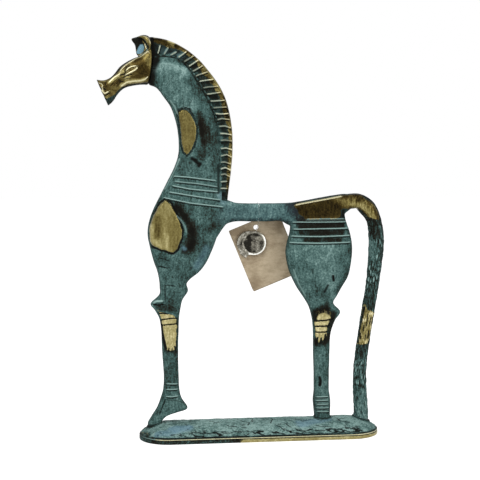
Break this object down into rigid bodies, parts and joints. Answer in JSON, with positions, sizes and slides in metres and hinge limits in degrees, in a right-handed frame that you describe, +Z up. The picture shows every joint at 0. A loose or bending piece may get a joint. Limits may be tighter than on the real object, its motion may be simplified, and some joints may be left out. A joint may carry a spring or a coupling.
{
  "type": "horse sculpture",
  "caption": "Flat cast bronze horse in an archaic style with a ridged mane comb and an arched rod tail, on a low domed base plate, with a hang tag looped on its back.",
  "frame": {"origin": "middle of the bounding box's footprint, on the underside of the base", "axes": "+X from the muzzle towards the tail, +Y through the plate away from the tag seal's side, +Z up"},
  "size_m": [0.1704, 0.036, 0.2369],
  "materials": {
    "base_bronze": "cast bronze, brushed blue-green patina on the dome, polished yellow rim",
    "patina_bronze": "cast bronze, blue-green verdigris over a dark ground, polished gold high spots",
    "polished_bronze": "polished golden brown bronze with darkened hollows",
    "mane_bronze": "dark patina in the grooves, polished gold on the outer edge",
    "tail_bronze": "bark-chiselled bronze, blue-green patina over a dark ground",
    "braze": "braze metal, patinated with the casting",
    "tag_card": "matt tan printed card, left bare",
    "clear_thread": "clear nylon",
    "seal_tin": "pressed tinplate, darkened in its dimples"
  },
  "bodies": {
    "horse": {"base_plate": "base_bronze", "body_casting": "patina_bronze", "head_casting": "polished_bronze", "mane_comb": "mane_bronze", "tail_rod": "tail_bronze", "fore_foot_braze": "braze", "hind_foot_braze": "braze", "tail_foot_braze": "braze"},
    "loop": {"tag_thread": "clear_thread", "tag_seal": "seal_tin"},
    "tag": {"hang_tag": "tag_card"}
  },
  "joints": [
    {"name": "loop_swing", "type": "hinge", "parent": "horse", "child": "loop", "pos_m": [0.00866, 0, 0.13395], "axis": [1, 0, 0], "range_deg": [0, 70]},
    {"name": "tag_turn", "type": "hinge", "parent": "loop", "child": "tag", "pos_m": [0.00866, 0.00718, 0.1246], "axis": [0, -0.9914, -0.1305], "range_deg": [-30, 10]}
  ]
}
